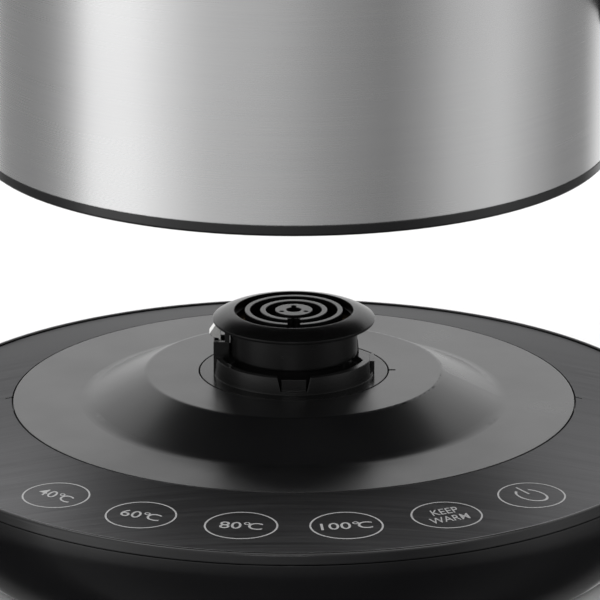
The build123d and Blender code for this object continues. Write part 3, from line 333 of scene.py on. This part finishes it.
def brushedMetal(name, light, dark, stretch, rough, depth, anisotropy=0.0, grazing=1.0):
    material, tree, shader = newMaterial(name, Metallic=1.0, Anisotropic=anisotropy)
    shader.inputs["Specular Tint"].default_value = (grazing, grazing, grazing, 1)
    brush = placeGroup(tree, brushing, Stretch=stretch)
    edge = placeGroup(tree, edgeWearAndHighlight, Radius=0.0003)
    tone = blendColors(tree, mapRange(tree, brush.outputs["Strokes"], 0.32, 0.68, 0, 1), dark, light)
    pale = tuple(min(1, c * 1.25) for c in light)
    # edges mixed towards a paler tone: painted highlight on rounded edges, partly wear
    tone = blendColors(tree, mathNode(tree, "MULTIPLY", edge.outputs["Edge"], 0.5), tone, pale)
    tree.links.new(tone, shader.inputs["Base Color"])
    spread = mapRange(tree, brush.outputs["Strokes"], 0.3, 0.7, rough[0], rough[1])
    haze = mapRange(tree, brush.outputs["Clouds"], 0.35, 0.65, -0.02, 0.02)
    tree.links.new(mathNode(tree, "ADD", spread, haze), shader.inputs["Roughness"])
    height = mathNode(tree, "SUBTRACT", brush.outputs["Strokes"], brush.outputs["Scratches"])
    tree.links.new(bumpNode(tree, height, depth, edge.outputs["Rounded"]), shader.inputs["Normal"])
    if anisotropy:
        shader.inputs["Anisotropic Rotation"].default_value = 0.25
        tangent = tree.nodes.new("ShaderNodeTangent")
        tangent.direction_type = "RADIAL"
        tangent.axis = "Z"
        tree.links.new(tangent.outputs[0], shader.inputs["Tangent"])
    return material


def mouldedPlastic(name, tone, rough, grain, specular=0.5, wearAndHighlight=0.35):
    material, tree, shader = newMaterial(name)
    shader.inputs["Specular IOR Level"].default_value = specular
    skin = placeGroup(tree, moulding)
    edge = placeGroup(tree, edgeWearAndHighlight, Radius=0.00035)
    lighter = tuple(c * 1.5 + 0.012 for c in tone)
    mottle = mapRange(tree, skin.outputs["Mottle"], 0.35, 0.7, 0, 1)
    colour = blendColors(tree, mottle, tone, tuple(c * 1.15 for c in tone))
    # edges mixed towards a lighter tone: partly wear, partly painted highlight on rounded edges
    colour = blendColors(tree, mathNode(tree, "MULTIPLY", edge.outputs["Edge"], wearAndHighlight), colour, lighter)
    colour = blendColors(tree, mathNode(tree, "MULTIPLY", skin.outputs["Specks"], 0.25), colour, lighter)
    tree.links.new(colour, shader.inputs["Base Color"])
    spread = mapRange(tree, skin.outputs["Mottle"], 0.3, 0.7, rough - 0.03, rough + 0.04)
    tree.links.new(spread, shader.inputs["Roughness"])
    bump = bumpNode(tree, skin.outputs["Grain"], grain, edge.outputs["Rounded"])
    tree.links.new(bump, shader.inputs["Normal"])
    return material


def plainMetal(name, tone, rough, grain=0.00001):
    material, tree, shader = newMaterial(name, Metallic=1.0)
    skin = placeGroup(tree, moulding)
    edge = placeGroup(tree, edgeWearAndHighlight, Radius=0.0002)
    darker = tuple(c * 0.75 for c in tone)
    colour = blendColors(tree, mapRange(tree, skin.outputs["Mottle"], 0.35, 0.7, 0, 1), darker, tone)
    tree.links.new(colour, shader.inputs["Base Color"])
    spread = mapRange(tree, skin.outputs["Mottle"], 0.3, 0.7, rough, rough + 0.12)
    tree.links.new(spread, shader.inputs["Roughness"])
    bump = bumpNode(tree, skin.outputs["Grain"], grain, edge.outputs["Rounded"])
    tree.links.new(bump, shader.inputs["Normal"])
    return material


finishes = {
    "bodySteel": brushedMetal(
        "bodySteel",
        (0.80, 0.80, 0.80),
        (0.755, 0.755, 0.76),
        (14, 14, 1300),
        (0.25, 0.29),
        0.0000012,
        anisotropy=0.7,
    ),
    "spoutSteel": brushedMetal(
        "spoutSteel",
        (0.78, 0.78, 0.78),
        (0.66, 0.66, 0.665),
        (14, 14, 900),
        (0.24, 0.34),
        0.000004,
    ),
    "innerSteel": brushedMetal(
        "innerSteel",
        (0.70, 0.70, 0.70),
        (0.58, 0.58, 0.585),
        (40, 40, 500),
        (0.3, 0.42),
        0.000004,
    ),
    "darkPlate": brushedMetal(
        "darkPlate",
        (0.20, 0.20, 0.204),
        (0.135, 0.135, 0.138),
        (16, 1500, 60),
        (0.36, 0.46),
        0.000006,
        grazing=0.35,
    ),
    "satinBlack": mouldedPlastic("satinBlack", (0.006, 0.006, 0.0065), 0.30, 0.000004),
    "discBlack": mouldedPlastic("discBlack", (0.006, 0.006, 0.0065), 0.30, 0.000004, specular=0.78),
    # connector: edge lightening at full strength paints bright highlights on its rounded rims
    "connectorBlack": mouldedPlastic(
        "connectorBlack",
        (0.006, 0.006, 0.006),
        0.22,
        0.000003,
        specular=0.3,
        wearAndHighlight=1.0,
    ),
    "glossBlack": mouldedPlastic("glossBlack", (0.004, 0.004, 0.0045), 0.12, 0.0000015),
    "gripBlack": mouldedPlastic("gripBlack", (0.012, 0.012, 0.0125), 0.40, 0.00001),
    "rubberBlack": mouldedPlastic(
        "rubberBlack",
        (0.022, 0.022, 0.022),
        0.75,
        0.00001,
        specular=0.25,
    ),
    "sealGrey": mouldedPlastic(
        "sealGrey",
        (0.42, 0.42, 0.42),
        0.6,
        0.000006,
        specular=0.35,
        wearAndHighlight=0.1,
    ),
    "lampWhite": mouldedPlastic("lampWhite", (0.85, 0.84, 0.8), 0.35, 0.000002, wearAndHighlight=0.0),
    "blockCream": mouldedPlastic("blockCream", (0.72, 0.68, 0.55), 0.5, 0.000005, wearAndHighlight=0.1),
    "boardGreen": mouldedPlastic("boardGreen", (0.02, 0.13, 0.05), 0.3, 0.000003, wearAndHighlight=0.1),
    "tapeYellow": mouldedPlastic("tapeYellow", (0.62, 0.45, 0.06), 0.5, 0.000008, wearAndHighlight=0.1),
    "screwSteel": plainMetal("screwSteel", (0.62, 0.62, 0.63), 0.22),
    "springSteel": plainMetal("springSteel", (0.55, 0.55, 0.56), 0.25),
    "contactBrass": plainMetal("contactBrass", (0.82, 0.60, 0.30), 0.2),
    "contactSilver": plainMetal("contactSilver", (0.86, 0.86, 0.84), 0.16),
    "castAluminium": plainMetal("castAluminium", (0.74, 0.74, 0.75), 0.38, 0.00003),
}

# which finish each CAD node gets
wearing = {
    "bodySteel": ["steel_body"],
    "spoutSteel": ["spout", "spout_filter"],
    "innerSteel": ["vessel_floor", "lid_inner_plate", "temperature_sensor"],
    "darkPlate": ["brushed_top_plate"],
    "discBlack": ["centre_disc"],
    "connectorBlack": ["earth_post", "connector_base", "connector_body", "connector_cap"],
    "satinBlack": ["bottom_cover", "socket_housing", "thermal_control", "handle_spine", "lid_latch"],
    "gripBlack": ["handle_outer_shell", "handle_inner_shell", "top_collar", "lid_cap"],
    "glossBlack": [
        "base_upper_housing",
        "base_lower_housing",
        "bottom_trim_ring",
        "lid_button",
        "buzzer",
        "power_relay",
    ],
    "rubberBlack": ["base_foot_ring", "cord_gland"],
    "sealGrey": ["lid_seal", "sensor_seal"],
    "lampWhite": ["key_lamps"],
    "blockCream": ["terminal_block"],
    "boardGreen": ["power_board", "touch_board"],
    "tapeYellow": ["power_transformer"],
    "screwSteel": ["base_screws", "board_screws", "bottom_screws", "handle_screws", "hinge_pin"],
    "springSteel": ["button_spring", "lid_spring"],
    "contactBrass": ["contact_live", "contact_neutral", "contact_sensor"],
    "contactSilver": ["earth_contact", "socket_rings", "key_electrodes"],
    "castAluminium": ["heat_spreader", "heating_element"],
}
for finish, members in wearing.items():
    for member in members:
        slots = nodes[member].data.materials
        slots.clear()
        slots.append(finishes[finish])
print("finishes on", sum(len(m) for m in wearing.values()), "nodes")


def finishPiece(mesh, name, material, body, smooth=False):
    if isinstance(mesh, bmesh.types.BMesh):
        data = bpy.data.meshes.new(name)
        mesh.to_mesh(data)
        mesh.free()
    else:
        data = mesh
    data.materials.clear()
    data.materials.append(material)
    for polygon in data.polygons:
        polygon.use_smooth = smooth
    piece = bpy.data.objects.new(name, data)
    scene.collection.objects.link(piece)
    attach(piece, body)
    return piece


# touch keys printed on the brushed plate

keys = {
    "circle": 0.0846,  # centre of the plate's hub to a key
    "step": 16.8,
    "half": 0.00875,
    "flatten": 0.65,  # round marks are pressed to ovals
    "follow": 0.6,  # how far the ovals turn with their place on the circle
    "line": 0.00045,
    "letter": 0.0028,
    "smallLetter": 0.0024,
    "lift": 0.00004,
    "powerRadius": 0.00405,
    "powerLine": 0.0006,
    # words and their width; none stands for the power sign
    "labels": [
        ("40°C", 0.0102),
        ("60°C", 0.0102),
        ("80°C", 0.0102),
        ("100°C", 0.0123),
        ("KEEP\nWARM", 0.010),
        None,
    ],
}
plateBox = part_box("brushed_top_plate")
deckHeight = plateBox[1].z
plateRadius = plateBox[1].x
plateInner = 0.0702
plateThickness = 0.0012
plateFall = plateBox[1].z - plateBox[0].z - plateThickness
plateSlope = plateFall / (plateRadius - plateInner)


def plateHeight(radius):
    return deckHeight - plateSlope * (radius - plateInner)


def ringMark(radius, line, segments=96):
    mark = bmesh.new()
    bmesh.ops.create_circle(mark, cap_ends=True, segments=segments, radius=radius)
    bmesh.ops.inset_region(mark, faces=mark.faces[:], thickness=line, use_even_offset=True, use_boundary=True)
    inner = [f for f in mark.faces if len(f.verts) > 4]
    bmesh.ops.delete(mark, geom=inner, context="FACES")
    return mark


def textMark(words, height, width):
    curve = bpy.data.curves.new("keyWords", "FONT")
    curve.body = words
    curve.size = height * 1.38
    curve.align_x = "CENTER"
    curve.align_y = "CENTER"
    curve.space_line = 0.96
    curve.offset = 0.00002
    curve.resolution_u = 4
    if "°" in words:  # the C tucks under its degree sign
        curve.body_format[words.index("°")].kerning = -18
    holder = bpy.data.objects.new("keyWords", curve)
    scene.collection.objects.link(holder)
    bpy.context.view_layer.update()
    flat = bpy.data.meshes.new_from_object(holder)
    bpy.data.objects.remove(holder)
    mark = bmesh.new()
    mark.from_mesh(flat)
    bpy.data.meshes.remove(flat)
    across = [v.co.x for v in mark.verts]
    up = [v.co.y for v in mark.verts]
    middle = Vector(((max(across) + min(across)) / 2, (max(up) + min(up)) / 2, 0))
    bmesh.ops.translate(mark, vec=-middle, verts=mark.verts[:])
    bmesh.ops.scale(mark, vec=(width / (max(across) - min(across)), 1, 1), verts=mark.verts[:])
    return mark


def powerMark(radius, line):
    mark = ringMark(radius, line, 48)
    gone = [v for v in mark.verts if abs(atan2(v.co.x, v.co.y)) < radians(24)]
    bmesh.ops.delete(mark, geom=gone, context="VERTS")
    bar = bmesh.ops.create_grid(mark, x_segments=1, y_segments=6, size=0.5)["verts"]
    bmesh.ops.scale(mark, vec=(line, radius * 1.15, 1), verts=bar)
    bmesh.ops.translate(mark, vec=(0, radius * 0.77, 0), verts=bar)
    return mark


def turned(mark, angle):
    bmesh.ops.rotate(mark, matrix=Matrix.Rotation(angle, 3, "Z"), verts=mark.verts[:])
    return mark


def flattened(mark):
    bmesh.ops.scale(mark, vec=(1, keys["flatten"], 1), verts=mark.verts[:])
    return mark


def layOnPlate(mark, angle):
    for vert in mark.verts:
        x = keys["circle"] * sin(angle) + vert.co.x
        y = vert.co.y - keys["circle"] * cos(angle)
        vert.co = (x, y, plateHeight(Vector((x, y)).length) + keys["lift"])


def buildKeyMarks():
    marks = bmesh.new()
    for index, label in enumerate(keys["labels"]):
        angle = radians(keys["step"] * (index - (len(keys["labels"]) - 1) / 2))
        if label is None:
            sign = flattened(turned(powerMark(keys["powerRadius"], keys["powerLine"]), angle))
        else:
            words, width = label
            height = keys["smallLetter"] if "\n" in words else keys["letter"]
            sign = turned(textMark(words, height, width), angle)
        ring = turned(flattened(ringMark(keys["half"], keys["line"])), angle * keys["follow"])
        for shape in (ring, sign):
            layOnPlate(shape, angle)
            loose = bpy.data.meshes.new("mark")
            shape.to_mesh(loose)
            marks.from_mesh(loose)
            bpy.data.meshes.remove(loose)
            shape.free()
    return marks


material, tree, shader = newMaterial("keyInk", Roughness=0.5)
worn = placeGroup(tree, moulding)
mottle = mapRange(tree, worn.outputs["Mottle"], 0.3, 0.7, 0, 1)
ink = blendColors(tree, mottle, (0.42, 0.42, 0.42), (0.54, 0.54, 0.54))
tree.links.new(ink, shader.inputs["Base Color"])
finishPiece(buildKeyMarks(), "keyMarks", material, "power_base")
print("key marks done")

# springs: real coils in place of their simple stand-ins

springs = {
    "lidSpringCoil": {"node": "lid_spring", "axis": 1, "wire": 0.0005, "turns": 4},
    "buttonSpringCoil": {"node": "button_spring", "axis": 2, "wire": 0.00035, "turns": 4},
}
coilDetail = {"perTurn": 32, "section": 10}


def buildCoil(node, axis, wire, turns):
    low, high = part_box(node)
    middle = (low + high) / 2
    radius = (high.x - low.x) / 2 - wire
    foot = middle.copy()
    foot[axis] = low[axis] + wire
    along = Vector((0, 0, 0))
    along[axis] = 1
    length = high[axis] - low[axis] - 2 * wire
    # the wire's section stands across the coil: in XY for an axis along Y, in XZ for one along Z
    across = Matrix.Identity(4) if axis == 1 else Matrix.Rotation(pi / 2, 4, "X")
    place = Matrix.Translation(foot + Vector((radius, 0, 0))) @ across
    coil = bmesh.new()
    bmesh.ops.create_circle(coil, segments=coilDetail["section"], radius=wire, matrix=place)
    steps = turns * coilDetail["perTurn"]
    bmesh.ops.spin(
        coil,
        geom=coil.verts[:] + coil.edges[:],
        cent=middle,
        axis=along,
        dvec=along * (length / steps),
        angle=2 * pi * turns,
        steps=steps,
        use_merge=False,
    )
    ends = [e for e in coil.edges if len(e.link_faces) == 1]
    bmesh.ops.holes_fill(coil, edges=ends, sides=0)
    bmesh.ops.recalc_face_normals(coil, faces=coil.faces[:])
    return coil


for name, spring in springs.items():
    coil = buildCoil(**spring)
    print(name, len(coil.faces), "faces")
    piece = finishPiece(coil, name, finishes["springSteel"], "kettle", smooth=True)
    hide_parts(spring["node"])
    if spring["node"] == "button_spring":
        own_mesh(piece)
print("springs done")

# floor

floorMesh = bmesh.new()
bmesh.ops.create_circle(floorMesh, cap_ends=True, segments=96, radius=studio["floorRadius"])
floorData = bpy.data.meshes.new("studioFloor")
floorMesh.to_mesh(floorData)
floorMesh.free()
material, tree, shader = newMaterial("floorPaper", Roughness=0.95)
paper = placeGroup(tree, moulding)
mottle = mapRange(tree, paper.outputs["Mottle"], 0.3, 0.7, 0, 1)
tone = blendColors(tree, mottle, (0.90, 0.90, 0.90), (0.92, 0.92, 0.92))
tree.links.new(tone, shader.inputs["Base Color"])
floorData.materials.append(material)
floor = bpy.data.objects.new("studioFloor", floorData)
floor.visible_glossy = False
scene.collection.objects.link(floor)
print("floor laid")
